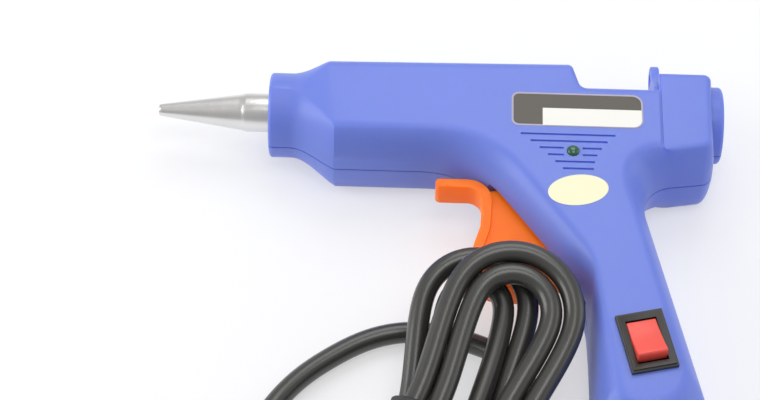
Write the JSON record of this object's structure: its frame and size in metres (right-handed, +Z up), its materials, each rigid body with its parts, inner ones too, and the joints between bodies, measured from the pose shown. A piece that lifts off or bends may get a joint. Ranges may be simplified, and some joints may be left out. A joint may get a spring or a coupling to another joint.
{
  "type": "hot-melt glue gun",
  "caption": "Small blue hot-melt glue gun lying on its side: steel nozzle, orange trigger that drives a feed carriage, red rocker switch and a black mains cord in a tied hank.",
  "frame": {"origin": "middle of the gun's footprint on the surface it lies on, without its cord and plug", "axes": "+X back along the barrel from the nozzle to the stick inlet, +Y from the handle's base to the barrel, +Z up out of the left half shell"},
  "size_m": [0.1598, 0.1866, 0.0336],
  "materials": {
    "shell_blue": "satin, finely grained",
    "trigger_orange": "satin",
    "steel": "turned",
    "chamber_alloy": "die cast",
    "insulator": "matt",
    "ceramic": "matt",
    "silicone": "matt",
    "feed_plastic": "matt",
    "switch_black": "satin",
    "rocker_red": "glossy",
    "brass": "plain",
    "lamp_green": "clear",
    "board": "matt",
    "cord_black": "satin",
    "tie_grey": "matt"
  },
  "bodies": {
    "gun": {"left_shell": "shell_blue", "right_shell": "shell_blue", "case_screws": "steel", "nozzle": "steel", "melt_chamber": "chamber_alloy", "insulator_rings": "insulator", "heater": "ceramic", "heater_clip": "steel", "inlet_sleeve": "silicone", "sleeve_clamp": "steel", "stick_guide": "shell_blue", "trigger_pin": "steel", "return_spring": "steel", "switch_housing": "switch_black", "switch_terminals": "brass", "pilot_lamp": "lamp_green", "lamp_board": "board", "cord_clamp": "feed_plastic", "clamp_screws": "steel", "strain_relief": "cord_black", "cord_lead": "cord_black", "cord_hank": "cord_black", "cord_tail": "cord_black", "cord_tie": "tie_grey", "plug_body": "cord_black", "plug_pins": "steel"},
    "trigger": {"trigger": "trigger_orange"},
    "carriage": {"feed_carriage": "feed_plastic", "pawl_pin": "steel"},
    "pawl": {"grip_pawl": "steel"},
    "rocker": {"rocker": "rocker_red"}
  },
  "joints": [
    {"name": "trigger_pull", "type": "hinge", "parent": "gun", "child": "trigger", "pos_m": [0.03005, 0.01665, 0.014], "axis": [0, 0, 1], "range_deg": [0, 18], "stiffness_Nm_per_rad": 0.3, "springref_deg": -8.59},
    {"name": "carriage_feed", "type": "slide", "parent": "gun", "child": "carriage", "axis": [-1, 0, 0], "range_m": [0, 0.00488], "deforming": ["return_spring"]},
    {"name": "pawl_tilt", "type": "hinge", "parent": "carriage", "child": "pawl", "pos_m": [0.03305, 0.04795, 0.014], "axis": [0, 0, 1], "range_deg": [0, 8]},
    {"name": "rocker_tilt", "type": "hinge", "parent": "gun", "child": "rocker", "pos_m": [0.05517, -0.03975, 0.028], "axis": [0.9732, 0.23, 0], "range_deg": [0, 28]}
  ],
  "couplings": [
    {"joint": "carriage_feed", "follows": "trigger_pull", "m_per_rad": 0.0155},
    {"joint": "pawl_tilt", "follows": "trigger_pull", "ratio": 0.44}
  ]
}
